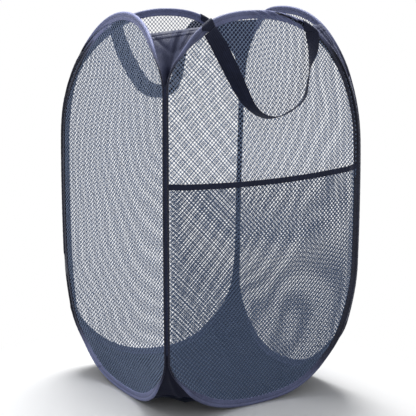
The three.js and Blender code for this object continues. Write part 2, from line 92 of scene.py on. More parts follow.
def set_camera():
    """The photo's camera, fitted to it: left of the front and looking down a little at the hamper's middle."""
    azimuth, pitch = math.radians(31.373), math.radians(10.469)
    focal_pixels, photo_pixels = 1156.0, 416
    sideways, aim_height, distance = 0.0023, 0.288, 1.890
    back = Vector((-math.sin(azimuth) * math.cos(pitch), -math.cos(azimuth) * math.cos(pitch), math.sin(pitch)))
    right = Vector((math.cos(azimuth), -math.sin(azimuth), 0))
    data = bpy.data.cameras.new("camera")
    data.sensor_width = 36
    data.lens = 36 * focal_pixels / photo_pixels
    data.clip_start, data.clip_end = 0.05, 60
    place = right * sideways + Vector((0, 0, aim_height)) + back * distance
    bpy.context.scene.camera = stand("camera", data, place, -back)


def soft_lamp(name, place, aim, size, power):
    """A square white area lamp at a place, turned to face a point."""
    data = bpy.data.lights.new(name, "AREA")
    data.shape, data.size, data.energy = "SQUARE", size, power
    stand(name, data, place, Vector(aim) - Vector(place))


# Finishes

class Value:
    """A number that changes over a surface; its operators add Math nodes."""

    def __init__(self, nodes, socket):
        self.nodes = nodes
        self.socket = socket

    def maths(self, operation, *others):
        node = self.nodes.add("ShaderNodeMath", {"operation": operation}, [self, *others])
        return Value(self.nodes, node.outputs[0])

    __add__ = __radd__ = partialmethod(maths, "ADD")
    __sub__ = partialmethod(maths, "SUBTRACT")
    __mul__ = __rmul__ = partialmethod(maths, "MULTIPLY")
    __truediv__ = partialmethod(maths, "DIVIDE")
    sine = partialmethod(maths, "SINE")
    size = partialmethod(maths, "ABSOLUTE")
    most = partialmethod(maths, "MAXIMUM")

    def __rsub__(self, other):
        return self * -1 + other

    def between(self, low, high):
        """0 below low, 1 above high, with a smooth change between them."""
        settings = {"interpolation_type": "SMOOTHSTEP"}
        node = self.nodes.add("ShaderNodeMapRange", settings, {"Value": self, "From Min": low, "From Max": high})
        return Value(self.nodes, node.outputs[0])


class Nodes:
    """A node tree and the methods that add to it."""

    def __init__(self, tree):
        self.tree = tree

    def fill(self, socket, value):
        """Links a value or an output to a socket, or sets the socket's own number or colour."""
        value = getattr(value, "socket", value)
        if isinstance(value, bpy.types.NodeSocket):
            self.tree.links.new(value, socket)
        else:
            socket.default_value = (*value[:3], 1) if socket.type == "RGBA" else value

    def add(self, kind, settings=None, inputs=()):
        """A node of a kind, with its settings first and then the values or links of its sockets."""
        node = self.tree.nodes.new(kind)
        for key, value in (settings or {}).items():
            setattr(node, key, value)
        for key, value in inputs.items() if isinstance(inputs, dict) else enumerate(inputs):
            self.fill(node.inputs[key], value)
        return node

    def ray(self, kind):
        """1 for rays of a kind, 0 for the others."""
        return Value(self, self.add("ShaderNodeLightPath").outputs["Is " + kind + " Ray"])

    def seen(self):
        """1 for camera, glossy and transmission rays, 0 for those that carry light."""
        return self.ray("Camera").most(self.ray("Glossy")).most(self.ray("Transmission"))


class Finish(Nodes):
    """A material with a Principled shader and the nodes that feed it."""

    def __init__(self, name, **constants):
        self.material = bpy.data.materials.new(name)
        self.material.use_nodes = True
        super().__init__(self.material.node_tree)
        self.shader = self.tree.nodes["Principled BSDF"]
        self.feed(**constants)

    def place(self):
        """Object coordinates."""
        return self.add("ShaderNodeTexCoord").outputs["Object"]

    def attribute(self, name, output):
        return self.add("ShaderNodeAttribute", {"attribute_name": name}).outputs[output]

    def split(self, vector):
        """The three parts of a vector."""
        return [Value(self, part) for part in self.add("ShaderNodeSeparateXYZ", None, [vector]).outputs]

    def weave(self):
        """Distances along and across a piece of cloth, in metres, and a painted shade for its creases, from its own
        attribute.
        """
        return self.split(self.attribute("weave", "Vector"))

    def cloud(self, scale, detail, roughness):
        """Soft noise from 0 to 1 on object coordinates."""
        inputs = {"Vector": self.place(), "Scale": scale, "Detail": detail, "Roughness": roughness}
        return Value(self, self.add("ShaderNodeTexNoise", None, inputs).outputs[0])

    def blend_colors(self, share, first, second):
        """A colour between two colours."""
        return self.add("ShaderNodeMix", {"data_type": "RGBA"}, {0: share, 6: first, 7: second}).outputs[2]

    def bump(self, height, distance, strength):
        """A Bump node that feeds the shader's normal."""
        inputs = {"Height": height, "Distance": distance, "Strength": strength}
        return self.add("ShaderNodeBump", None, inputs).outputs[0]

    def feed(self, **links):
        """Fills the shader's sockets, named with underscores for spaces."""
        for socket, value in links.items():
            self.fill(self.shader.inputs[socket.replace("_", " ")], value)
        return self


def tone(red, green, blue):
    """A colour given as it looks on screen, from 0 to 255, as linear shares."""
    shares = np.array([red, green, blue]) / 255
    return tuple(np.where(shares <= 0.04045, shares / 12.92, ((shares + 0.055) / 1.055) ** 2.4).tolist())


def woven(name, base, raised, pitch=0.0006, depth=0.0001, roughness=0.55, cloudiness=0.3, sheen=0.15,
          tint=(0.6, 0.65, 0.9), gloss=0.12, level=0.42, painted_highlight=0.0):
    """Plain weave: the product of sines along and across at a pitch, with soft changes of colour. level is the
    usual share of the raised colour. painted_highlight paints a highlight: the cloth paler towards the top and
    the foot, and more so on the left panel's top. With it, the weave's third value darkens creases as painted shade."""
    finish = Finish(name, Sheen_Weight=sheen, Sheen_Roughness=0.35, Sheen_Tint=tint, Specular_IOR_Level=gloss)
    along, across, shade = finish.weave()
    turn = 2 * math.pi / pitch
    threads = (along * turn).sine() * (across * turn).sine()
    patches = finish.cloud(38, 4, 0.6)
    fine = finish.cloud(420, 2, 0.5)
    share = (patches - 0.5) * cloudiness * 2 + level + threads * 0.16 + (fine - 0.5) * 0.22
    if painted_highlight:
        x, _, z = finish.split(finish.place())
        away = (z - HALF_HEIGHT).size() / HALF_HEIGHT
        left = (x * -1).between(0.12, 0.15)
        # painted highlight: paler on the top and foot arcs, and more on the left panel's top; painted shade: darker
        # in the creases
        share = share + away.between(0.70, 0.97) * (left * 1.5 + 1) * painted_highlight - shade * 0.9
    color = finish.blend_colors(share.between(0, 1), base, raised)
    height = threads * 0.5 + fine * 0.35
    rough = roughness + (patches - 0.5) * 0.16
    return finish.feed(Base_Color=color, Roughness=rough, Normal=finish.bump(height, depth, 0.6))


def webbing_finish():
    """Webbing: ribs across the strap in chevrons, with darker rows between them."""
    finish = Finish("webbing", Sheen_Weight=0.1, Sheen_Roughness=0.5, Sheen_Tint=(0.6, 0.65, 0.85),
                    Specular_IOR_Level=0.1)
    along, across, _ = finish.weave()
    slant = (across * (2 * math.pi / 0.0062)).sine() * 0.0008
    ribs = ((along + slant) * (2 * math.pi / 0.0016)).sine()
    rows = (across * (2 * math.pi / 0.0031)).sine()
    patches = finish.cloud(60, 4, 0.6)
    fine = finish.cloud(700, 2, 0.5)
    share = (ribs * 0.22 + rows * 0.1 + (patches - 0.5) * 0.5 + (fine - 0.5) * 0.3 + 0.42).between(0, 1)
    color = finish.blend_colors(share, tone(12, 14, 26), tone(52, 57, 82))
    bump = finish.bump(ribs * 0.5 + rows * 0.25 + fine * 0.3, 0.00022, 0.8)
    return finish.feed(Base_Color=color, Roughness=0.58 + (patches - 0.5) * 0.2, Normal=bump)


def net_finish(name, pale, deep):
    """Knitted polyester yarn: paler beside the holes, deeper where four holes meet."""
    finish = Finish(name, Sheen_Weight=0.15, Sheen_Roughness=0.4, Sheen_Tint=(0.75, 0.8, 1), Specular_IOR_Level=0.15)
    dense = Value(finish, finish.attribute("dense", "Fac"))
    patches = finish.cloud(26, 3, 0.5)
    fine = finish.cloud(1500, 2, 0.6)
    share = (dense * 0.5 + (fine - 0.5) * 0.3 + (patches - 0.5) * 0.3 + 0.2).between(0, 1)
    color = finish.blend_colors(share, pale, deep)
    return finish.feed(Base_Color=color, Roughness=0.6 + (fine - 0.5) * 0.2, Normal=finish.bump(fine, 0.0001, 0.5))


def grained(finish, noise, first, second, smoothest, depth, strength):
    """A fine grain of two colours, rougher where the second one shows."""
    fine = finish.cloud(*noise)
    return finish.feed(Base_Color=finish.blend_colors(fine, first, second), Roughness=smoothest + fine * 0.2,
                       Normal=finish.bump(fine, depth, strength))


# Shapes

def smooth(value, low, high):
    """0 below low, 1 above high, and the curve 3t^2 - 2t^3 between them."""
    share = np.clip((value - low) / (high - low), 0, 1)
    return share * share * (3 - 2 * share)


def bell(value, width):
    """The curve e^(-(value/width)^2)."""
    return np.exp(-(value / width) ** 2)


def signed_power(value, power):
    """The size of a value to a power, with the value's sign."""
    return np.sign(value) * np.abs(value) ** power


def unit(vectors):
    """Vectors made one long."""
    return vectors / np.maximum(np.linalg.norm(vectors, axis=-1, keepdims=True), 1e-12)


def distances(points):
    """Distance along a line of points, from the first one."""
    return np.concatenate([[0], np.cumsum(np.linalg.norm(np.diff(points, axis=0), axis=-1))])


def even_out(values, times):
    """Moves each value to the mean of itself and its neighbours', again and again, with the ends held."""
    for _ in range(times):
        values[1:-1] = (values[:-2] + 2 * values[1:-1] + values[2:]) / 4
    return values


# How each panel's sewn edge departs from the plain outline: for its left and right side as seen from
# outside, the share of the gap to the next rim that is drawn shut at the top, how far the shoulder is cut
# in and dropped, and the share and cut at the foot; all lengths in millimetres
SIDE_FORM = np.array([
    [[0.94, -4.0, -3.9, 1.0, -4.0], [0.07, 4.7, 2.1, 0.33, 9.9]],
    [[0.12, 6.8, 1.3, 0.69, 10.9], [0.3, 6.0, -3.0, 0.8, -2.0]],
    [[0.8, 0.0, -2.0, 0.5, 6.0], [0.39, 4.7, 4.5, 0.88, -4.0]],
    [[0.0, 12.0, 12.0, 0.9, 12.0], [0.97, -3.9, 4.8, 1.0, -4.0]],
])
TOP_LEAN = (4.3, 3.1, 2.0, 3.7)
TOP_RISE = (-1.1, 3.1, -1.5, -4.0)
# The four corners, and their moves along their diagonals at the middle, the top and the foot
CORNER_SIGNS = ((-1, -1), (1, -1), (1, 1), (-1, 1))
CORNER_OUTWARDS = np.array([[*signs, 0] for signs in CORNER_SIGNS]) / math.sqrt(2)
CORNER_MOVES = ((1.4, 1.2, 0.5), (3.3, -11.0, -11.0), (1.3, 2.0, -8.0), (3.3, -11.0, -7.4))


def above_middle(z):
    """Height above the middle as a share of half the height, and the outline's power m there."""
    up = (z - HALF_HEIGHT) / HALF_HEIGHT
    return up, np.where(up > 0, TOP_POWER, FOOT_POWER)


def corner_gap(z):
    """Distance from the plain outline to the panel's straight side: A less A(1 - |z/H|^m)^(1/2.2)."""
    up, power = above_middle(z)
    return HALF_WIDTH * (1 - np.clip(1 - np.abs(up) ** power, 0, 1) ** (1 / WIDTH_POWER))


def draw_side(form, z):
    """How far a side moves outwards in its panel: the drawn share of the gap where the rims meet, less the
    shoulder's cut."""
    gap = corner_gap(z)
    top = form[0] * gap * (1 - smooth(z, 0.488, 0.56)) * (z > HALF_HEIGHT) - form[1] / 1000 * smooth(z, 0.43, 0.585)
    foot = form[3] * gap * smooth(z, 0.05, 0.12) * (z <= HALF_HEIGHT) - form[4] / 1000 * smooth(-z, -0.20, -0.03)
    return np.minimum(top + foot, gap)


def lean(a, z, turns):
    """How far a panel leans inwards: its bow, times 1 less the square of its place across, times the square of
    its height from the middle."""
    bow = BOW + TOP_LEAN[turns] / 1000 * (z > HALF_HEIGHT)
    return bow * (1 - (a / HALF_WIDTH) ** 2) * ((z - HALF_HEIGHT) / HALF_HEIGHT) ** 2


def move_corners(x, y, z):
    """Each corner's move along its diagonal: fullest at the middle height, and changing to its own value
    towards the top and the foot. Points between the corners move by products of their distances."""
    out_x, out_y = x, y
    for (side_x, side_y), (middle, top, foot) in zip(CORNER_SIGNS, CORNER_MOVES):
        move = middle * np.clip(1 - ((z - HALF_HEIGHT) / 0.19) ** 2, 0, 1)
        move = move + top * smooth(z, 0.40, 0.60) + foot * smooth(-z, -0.21, -0.01)
        weight = (1 + side_x * x / HINGE) * (1 + side_y * y / HINGE) / 4 * move / 1000 * math.sqrt(0.5)
        out_x, out_y = out_x + weight * side_x, out_y + weight * side_y
    far = (1 + x / HINGE) * (1 + y / HINGE) / 4
    return out_x + 0.0055 * smooth(z, 0.22, 0.46) * far, out_y


def turned(turns, x, y):
    """A point after quarter turns about the middle."""
    c, s = TURN_COSINES[turns], TURN_SINES[turns]
    return x * c - y * s, x * s + y * c


def on_panel(turns, a, z, d):
    """A point a across, z up and d outwards on a panel, in the panel's sewn form, turned by quarter turns about
    the middle."""
    left, right = SIDE_FORM[turns]
    apart = np.abs(a) / HALF_WIDTH
    draw = np.where(a < 0, draw_side(left, z), draw_side(right, z))
    a = a + np.sign(a) * draw * smooth(apart, 0.25, 0.9)
    high = smooth(z, 0.42, 0.60)
    y = lean(a, z, turns) - HINGE - d
    drop = np.where(a < 0, left[2], right[2]) * smooth(np.abs(a) / HALF_WIDTH, 0, 0.8) - TOP_RISE[turns]
    z = z - drop / 1000 * high
    x, y = move_corners(*turned(turns, a, y), z)
    return np.stack(np.broadcast_arrays(x, y, z), -1)


def edge_distance(a, z):
    """Distance inwards from the hoop's outline: 1 less |a/A|^2.2 + |z/H|^m, over the length of its slope. Also
    the inward direction."""
    across = a / HALF_WIDTH
    up, power = above_middle(z)
    level = np.abs(across) ** WIDTH_POWER + np.abs(up) ** power
    slope_a = WIDTH_POWER * signed_power(across, WIDTH_POWER - 1) / HALF_WIDTH
    slope_z = power * signed_power(up, power - 1) / HALF_HEIGHT
    steep = np.maximum(np.hypot(slope_a, slope_z), 1.0)
    return (1 - level) / steep, -slope_a / steep, -slope_z / steep


def with_inward(a, z):
    """Places on the outline with their inward directions: four rows."""
    _, inward_a, inward_z = edge_distance(a, z)
    size = np.hypot(inward_a, inward_z)
    return np.stack([a, z, inward_a / size, inward_z / size])


def on_rim(turns, line, reach, depth):
    """Points that lie reach inwards from places on a panel's outline."""
    a, z, inward_a, inward_z = line
    return on_panel(turns, a + inward_a * reach, z + inward_z * reach, depth)


def hoop_line(count):
    """Places on the outline, evenly spaced along it, anticlockwise from the middle of the right side: a = A
    cos^(2/2.2), z = H + H sin^(2/m), with signs kept. Returns them with their inward directions, and the
    length."""
    quarter = math.pi / 2 * np.linspace(0, 1, 6001) ** 3
    angle = np.concatenate([quarter, math.pi - quarter[::-1], math.pi + quarter, 2 * math.pi - quarter[::-1]])
    c, s = np.cos(angle), np.sin(angle)
    power = np.where(s > 0, TOP_POWER, FOOT_POWER)
    a = HALF_WIDTH * signed_power(c, 2 / WIDTH_POWER)
    z = HALF_HEIGHT + HALF_HEIGHT * signed_power(s, 2 / power)
    run = np.concatenate([[0], np.cumsum(np.hypot(np.diff(a), np.diff(z)))])
    wanted = np.arange(count) * run[-1] / count
    return with_inward(np.interp(wanted, run, a), np.interp(wanted, run, z)), run[-1]


def ripples(share, counts, seed):
    """Sum of sines with whole counts of waves round the loop and set phases, scaled to about -1 to 1."""
    draw = np.random.default_rng(seed)
    counts = np.asarray(counts, float)
    weights = draw.uniform(0.5, 1, len(counts))
    phases = draw.random(len(counts))
    waves = np.sin(2 * math.pi * (np.asarray(share)[..., None] * counts + phases))
    return waves @ weights / (weights.sum() * 0.62)


def quad_grid(rows, columns, close_rows=False, close_columns=False):
    """Quads between neighbouring rows and columns of points, as an array of rows, columns and four corners."""
    i = np.arange(rows if close_rows else rows - 1)[:, None]
    j = np.arange(columns if close_columns else columns - 1)[None, :]
    i, j = np.broadcast_arrays(i, j)
    i2, j2 = (i + 1) % rows, (j + 1) % columns
    return np.stack([i * columns + j, i * columns + j2, i2 * columns + j2, i2 * columns + j], -1)


def grid_weave(along, across, shape, shade=None):
    """Distances along and across for the corners of every quad of a grid; both lists hold one more value than a
    closed side. shade holds a third value, a painted shade for creases, for each point of a grid that is closed both
    ways."""
    i, j = np.broadcast_arrays(np.arange(shape[0])[:, None], np.arange(shape[1])[None, :])
    u = np.stack([along[i], along[i], along[i + 1], along[i + 1]], -1)
    v = np.stack([across[j], across[j + 1], across[j + 1], across[j]], -1)
    w = np.zeros_like(u)
    if shade is not None:
        after_i, after_j = (i + 1) % shape[0], (j + 1) % shape[1]
        w = np.stack([shade[i, j], shade[i, after_j], shade[after_i, after_j], shade[after_i, j]], -1)
    return np.stack([u, v, w], -1).reshape(-1, 3)


def signed_volume(points, quads):
    """Six times the volume inside closed quads."""
    a, b, c, d = (points[quads[:, k]] for k in range(4))
    return np.einsum("ij,ij->", a, np.cross(b, c)) + np.einsum("ij,ij->", a, np.cross(c, d))


def make_piece(name, points, quads, finish, weave=None, dense=None, closed=True):
    """A mesh from points and quads. Closed shells are turned to face outwards."""
    points = np.asarray(points, float).reshape(-1, 3)
    quads = np.asarray(quads).reshape(-1, 4)
    order = [0, 1, 2, 3]
    if closed and signed_volume(points, quads) < 0:
        order = [3, 2, 1, 0]
    quads = quads[:, order]
    mesh = bpy.data.meshes.new(name)
    mesh.vertices.add(len(points))
    mesh.vertices.foreach_set("co", points.astype(np.float32).ravel())
    mesh.loops.add(quads.size)
    mesh.loops.foreach_set("vertex_index", quads.astype(np.int32).ravel())
    mesh.polygons.add(len(quads))
    mesh.polygons.foreach_set("loop_start", np.arange(0, quads.size, 4, dtype=np.int32))
    mesh.polygons.foreach_set("use_smooth", np.ones(len(quads), bool))
    mesh.update(calc_edges=True)
    mesh.validate()
    if weave is not None:
        values = np.asarray(weave, np.float32).reshape(-1, 4, 3)[:, order]
        attribute = mesh.attributes.new("weave", "FLOAT_VECTOR", "CORNER")
        attribute.data.foreach_set("vector", values.ravel())
    if dense is not None:
        attribute = mesh.attributes.new("dense", "FLOAT", "POINT")
        attribute.data.foreach_set("value", np.asarray(dense, np.float32))
    mesh.materials.append(finish.material)
    return put(name, mesh)


def join(made, node, body):
    """Hides the solid a piece stands for, if any, and attaches the piece to the body that carries it."""
    if node:
        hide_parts(node)
    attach(made, body)
    return made


def tube(rows, sides, along, around):
    """Quads and weave of a closed tube: its grid, and a strip of quads over each end."""
    grid = quad_grid(rows, sides, False, True)
    lid = np.array([[k, k + 1, sides - 2 - k, sides - 1 - k] for k in range(sides // 2 - 1)])
    quads = np.concatenate([grid.reshape(-1, 4), lid[:, ::-1], lid + (rows - 1) * sides])
    return quads, np.concatenate([grid_weave(along, around, grid.shape), np.zeros((len(lid) * 8, 3))])


def shell(name, middle, thickness, finish):
    """A closed sheet: a grid of points moved both ways along its normals by half the thickness, with a wall
    round its edge."""
    rows, columns = middle.shape[:2]
    normal = unit(np.cross(np.gradient(middle, axis=0), np.gradient(middle, axis=1)))
    half = np.broadcast_to(np.asarray(thickness) / 2, (rows, columns))[..., None]
    points = np.concatenate([(middle + normal * half).reshape(-1, 3), (middle - normal * half).reshape(-1, 3)])
    face = quad_grid(rows, columns).reshape(-1, 4)
    index = np.arange(rows * columns).reshape(rows, columns)
    loop = np.concatenate([index[0, :-1], index[:-1, -1], index[-1, :0:-1], index[:0:-1, 0]])
    after = np.roll(loop, -1)
    count = rows * columns
    wall = np.stack([loop, loop + count, after + count, after], -1)
    quads = np.concatenate([face, face[:, ::-1] + count, wall])
    along, across = distances(middle[:, columns // 2]), distances(middle[rows // 2])
    flat = np.stack(np.broadcast_arrays(along[:, None], across[None, :], 0.0), -1).reshape(-1, 3)
    weave = np.concatenate([flat, flat])[quads]
    return make_piece(name, points, quads, finish, weave)


def sideness(a):
    """0 on a rim's arcs and 1 on its sides, with the change where |cos| = |a/A|^1.1 goes from 0.6 to 0.95."""
    return smooth(np.abs(a / HALF_WIDTH) ** (WIDTH_POWER / 2), 0.6, 0.95)


def rim_width(a, closing):
    """Width of a rim: the roll, and a flange that goes from the arcs' width to the side's."""
    side = sideness(a)
    flange = np.where(np.sign(a) == closing, 0.0, OPEN_FLANGE)
    return ROLL_WIDTH + ARC_FLANGE * (1 - side) + flange * side


def shoulder(panel, share):
    """How much wider a rim's flange is where its cloth bunches, from the top of the left panel to its side."""
    return 0.0055 * smooth(share, 0.265, 0.30) * smooth(-share, -0.42, -0.34) if panel == "left" else 0 * share


def slim(a, closing):
    """How far a rim is squeezed where two panels' sides are sewn together: 1 along the closing side, 0 on the
    arcs and the open side."""
    return sideness(a) * (np.sign(a) == closing)


# Half of a rim's section: reach from the edge and half thickness of the roll, in millimetres
ROLL_REACH = np.array([0.05, 0.2, 0.45, 0.9, 1.4, 2.0, 2.6, 3.2, 3.8, 4.3, 4.7]) / 1000
ROLL_HALF = np.array([0.0, 0.9, 1.4, 2.0, 2.4, 2.68, 2.76, 2.7, 2.52, 2.25, 1.85]) / 1000
FLANGE_START = 0.0052
FLANGE_SHARES = np.array([0.06, 0.14, 0.22, 0.32, 0.42, 0.52, 0.62, 0.72, 0.82, 0.91, 0.97, 1.0])
FLANGE_HALF = np.interp(FLANGE_SHARES, [0.06, 0.2, 0.45, 0.72, 0.9, 1.0], [1.15, 1.3, 1.35, 1.3, 1.35, 0.75]) / 1000
# The part of a section's size that is pressed out where two rims are sewn together
SQUEEZE = 0.48
RIM_STATIONS = 900
# Creases in a rim's outer face: shares of the way round where they start and end, distances from the edge
# there, depth and half width in millimetres
RIM_CREASES = {
    "left": ((0.275, 0.352, 13.5, 1.5, 3.0, 1.3), (0.312, 0.400, 15.0, 2.5, 3.0, 1.6),
             (0.385, 0.470, 9.0, 3.0, 2.4, 1.2), (0.560, 0.630, 2.0, 6.0, 3.0, 1.5),
             (0.689, 0.697, 0.5, 13.0, 3.2, 1.2)),
    "front": ((0.160, 0.232, 12.0, 1.5, 2.4, 1.1), (0.140, 0.205, 13.0, 3.0, 3.0, 1.5),
              (0.02, 0.16, 8.5, 3.0, 2.4, 1.2)),
    "back": ((0.295, 0.345, 11.0, 2.0, 2.0, 1.0), (0.325, 0.37, 10.0, 1.0, 2.0, 1.0)),
    "right": ((0.62, 0.70, 10.0, 2.0, 1.6, 1.0),),
}


def rim_creases(panel, share, reach):
    """Depth of a rim's creases: each runs on a slant, with a bell curve across it."""
    depth = np.zeros(reach.shape)
    for start, end, first, last, deep, width in RIM_CREASES[panel]:
        along = (share[:, None] - start) / (end - start)
        ends = smooth(along, 0, 0.12) * smooth(1 - along, 0, 0.12)
        line = (first + (last - first) * along) / 1000
        depth = depth + deep / 1000 * ends * bell(reach - line, width / 1000)
    return depth


def make_rim(panel, finish):
    """Folded tape round a hoop, from a closed section carried along the outline: a roll round the hoop, a sewn
    groove, and a flange on each face of the net. Ripples pucker the flange and the roll."""
    turns, closing = PANELS.index(panel), CLOSING[panel]
    line, length = hoop_line(RIM_STATIONS)
    a, z = line[:2]
    share = np.arange(RIM_STATIONS) / RIM_STATIONS

    def waves(counts, seed):
        return ripples(share, counts, turns + seed)

    width = rim_width(a, closing) + shoulder(panel, share)
    short = smooth(width, 0.006, 0.009)[:, None]
    squeezed = slim(a, closing)[:, None]
    gather = waves([151, 187, 229, 263], 10) * (0.65 + 0.35 * waves([7, 13, 19], 20))
    wave = waves([61, 83, 109, 127], 30) * (0.6 + 0.4 * waves([5, 11], 40))
    rolled = len(ROLL_HALF)
    reach = np.concatenate([
        np.broadcast_to(ROLL_REACH, (RIM_STATIONS, rolled)),
        FLANGE_START + FLANGE_SHARES * (width - FLANGE_START)[:, None],
    ], 1)
    half = np.broadcast_to(np.concatenate([ROLL_HALF, FLANGE_HALF]), reach.shape).copy()
    half[:, 1:rolled] *= 1 + 0.035 * waves([131, 173, 211], 50)[:, None]
    half *= 1 - SQUEEZE * squeezed
    half[:, rolled:] *= 1 + 0.16 * gather[:, None] * FLANGE_SHARES * short
    reach[:, -2:] += 0.0003 * gather[:, None] * short
    reach = reach * (1 - SQUEEZE * squeezed) - 0.0005 * squeezed
    shift = 0.00045 * wave[:, None] * np.concatenate([np.zeros(rolled), FLANGE_SHARES]) * short
    shift = shift - 0.0002 * squeezed
    if panel == "front":
        pleat = smooth(a, -0.02, 0.005) * smooth(-a, -0.115, -0.09) * (z > HALF_HEIGHT)
        slant = 2 * math.pi * (share[:, None] * length / 0.019 + reach / 0.0075)
        shift = shift + 0.0016 * pleat[:, None] * np.sin(slant) * np.clip(reach / 0.004, 0, 1)
    inner_half = half.copy()
    inner_half[:, rolled:] *= 1 + 0.14 * waves([143, 197, 241], 60)[:, None] * short
    creases = rim_creases(panel, share, reach)
    far = np.maximum(RIM_MIDDLE + half - creases, RIM_MIDDLE - 0.2 * half)
    # painted shade: the creases' depth, as a share of 2 mm, darkens the tape's colour inside them
    shade = np.concatenate([np.zeros_like(creases), np.clip(creases[:, 1:] / 0.002, 0, 1)], 1)
    section_reach = np.concatenate([reach[:, ::-1], reach[:, 1:]], 1)
    section_depth = np.concatenate([(RIM_MIDDLE - inner_half + shift)[:, ::-1], (far + shift)[:, 1:]], 1)
    points = on_rim(turns, line[:, :, None], section_reach, section_depth)
    quads = quad_grid(*section_reach.shape, True, True)
    along = np.arange(RIM_STATIONS + 1) * length / RIM_STATIONS
    across = distances(np.concatenate([points[0], points[0][:1]]))
    made = make_piece(panel + "_rim", points, quads, finish, grid_weave(along, across, quads.shape, shade))
    join(made, panel + "_casing", panel + "_panel")


# Places along the whole outline, and half sizes in and across the panel
HOOP_SECTIONS = {"hoop": (480, 0.0004, 0.0011), "hoop_sleeve": (4000, 0.0011, 0.0018)}
SLEEVE_HALF = 0.014


def make_hoop(panel, finish):
    """Spring band inside the roll, and the crimped sleeve over its ends at the foot: flat eight-sided sections
    carried along the outline, from a circle's cosines and sines that are stretched and cut off at 1."""
    turn = np.arange(8) * math.pi / 4 + math.pi / 8
    for name, (count, half_reach, half_depth) in HOOP_SECTIONS.items():
        line, _ = hoop_line(count)
        closed = name == "hoop"
        if not closed:
            line = line[:, (line[1] < 0.1) & (np.abs(line[0]) < SLEEVE_HALF)]
        a = line[0]
        crimp = 1 - 0.12 * (np.cos(a / SLEEVE_HALF * math.pi * 2)[:, None] > 0.7) * (not closed)
        squeezed = slim(a, CLOSING[panel])[:, None]
        reach = 0.0021 - 0.0015 * squeezed + half_reach * np.clip(1.2 * np.cos(turn), -1, 1)[None] * crimp
        depth = RIM_MIDDLE + half_depth * np.clip(1.2 * np.sin(turn), -1, 1)[None] * crimp
        quads = quad_grid(len(a), 8, closed, True).reshape(-1, 4)
        if not closed:
            caps = np.array([[0, 1, 2, 3], [0, 3, 4, 7], [4, 5, 6, 7]])
            quads = np.concatenate([quads, caps[:, ::-1], caps + (len(a) - 1) * 8])
        points = on_rim(PANELS.index(panel), line[:, :, None], reach, depth)
        made = make_piece(panel + "_spring_" + name, points, quads, finish)
        join(made, panel + "_" + name, panel + "_panel")


# Net cells: a diamond with a round hole; corners and middles of the diamond's sides are shared. Every
# second of the eight directions points at a corner
NET_HALF = 0.003475
YARN_DEPTH = 0.0004
AT_CORNER = np.arange(8) % 2 == 0
HOLE_RADII = np.where(AT_CORNER, 0.00254, 0.00222)
CELL_ANGLES = np.arange(8) * math.pi / 4
CELL_WAYS = np.stack([np.cos(CELL_ANGLES), np.sin(CELL_ANGLES)], -1)
CELL_EDGE = CELL_WAYS * np.where(AT_CORNER, 1, math.sqrt(0.5))[:, None] * NET_HALF
# How far each net's grain runs sideways for its lean, as a share of the lean
GRAIN = {"front": 0.61, "right": -1.0, "back": 0.61, "left": 0.0}


def net_cells(panel, keep, seed, settle, hole=1.0, shift=0.0):
    """Flat net: staggered rows of holes, each ringed by eight quads, with the grain moved sideways by its share
    of the panel's lean. keep says which middles stay, settle moves points inside the border, hole scales the
    holes and shift moves them sideways. Returns points, quads and how dense the yarn is, which is 0 at the
    holes' edges, the last points."""
    draw = np.random.default_rng(seed)
    rows = np.arange(-2, int(2 * HALF_HEIGHT / NET_HALF) + 3)
    columns = np.arange(-30, 31)
    row, column = np.meshgrid(rows, columns, indexing="ij")
    a = ((column + (row % 2) * 0.5) * 2 * NET_HALF).ravel() + shift
    z = (row * NET_HALF).ravel()
    turns = PANELS.index(panel)
    kept = keep(a + GRAIN[panel] * lean(a, z, turns), z)
    middle = np.stack([a[kept], z[kept]], -1)
    outer = middle[:, None] + CELL_EDGE
    stretch = 1 + 0.015 * np.clip(draw.normal(0, 1, (len(middle), 2)), -1.5, 1.5)
    size = hole + 0.015 * np.clip(draw.normal(0, 1, len(middle)), -1.5, 1.5)
    ring = CELL_WAYS * HOLE_RADII[:, None]
    inner = middle[:, None] + ring * size[:, None, None] * stretch[:, None]
    keys = np.round(outer.reshape(-1, 2) * 1e6).astype(np.int64)
    _, first, index = np.unique(keys[:, 0] * 10_000_000 + keys[:, 1], return_index=True, return_inverse=True)
    shared = outer.reshape(-1, 2)[first]
    index = index.reshape(-1, 8)
    own = len(shared) + np.arange(len(middle) * 8).reshape(-1, 8)
    quads = np.stack([own, index, np.roll(index, -1, 1), np.roll(own, -1, 1)], -1).reshape(-1, 4)
    flat = np.concatenate([shared, inner.reshape(-1, 2)])
    dense = np.concatenate([np.tile(np.where(AT_CORNER, 1.0, 0.5), len(middle))[first], np.zeros(len(middle) * 8)])
    flat[:, 0] += GRAIN[panel] * lean(flat[:, 0], flat[:, 1], turns)
    flat = settle(flat)
    return flat[:, 0], flat[:, 1], quads, dense


def knit(name, turns, a, z, depth, quads, dense, finish):
    """A net's face, and the yarn's thickness: a short tube through each hole, from the face inwards."""
    body = PANELS[turns] + "_panel"
    face = make_piece(name + "_mesh", on_panel(turns, a, z, depth), quads, finish, dense=dense, closed=False)
    join(face, name + "_net", body)
    rims = np.count_nonzero(dense == 0)
    a, z, depth = (values[-rims:] for values in (a, z, depth))
    points = np.concatenate([on_panel(turns, a, z, depth), on_panel(turns, a, z, depth - YARN_DEPTH)])
    near = np.arange(rims).reshape(-1, 8)
    after = np.roll(near, -1, 1)
    quads = np.stack([near, after, after + rims, near + rims], -1).reshape(-1, 4)
    sides = make_piece(name + "_mesh_sides", points, quads, finish, dense=np.full(len(points), 1.3), closed=False)
    join(sides, None, body)
    return face, sides


def sway(a, z, seed):
    """Soft unevenness in the plane of a net and out of it: sines of a few long waves across and up."""
    draw = np.random.default_rng(seed)
    total = np.zeros_like(a)
    for wave in range(6):
        turn_a, turn_z = draw.uniform(-1, 1, 2) * 2 * math.pi / 0.11
        total = total + np.sin(a * turn_a + z * turn_z + draw.uniform(0, 6.28))
    return total / 3.5


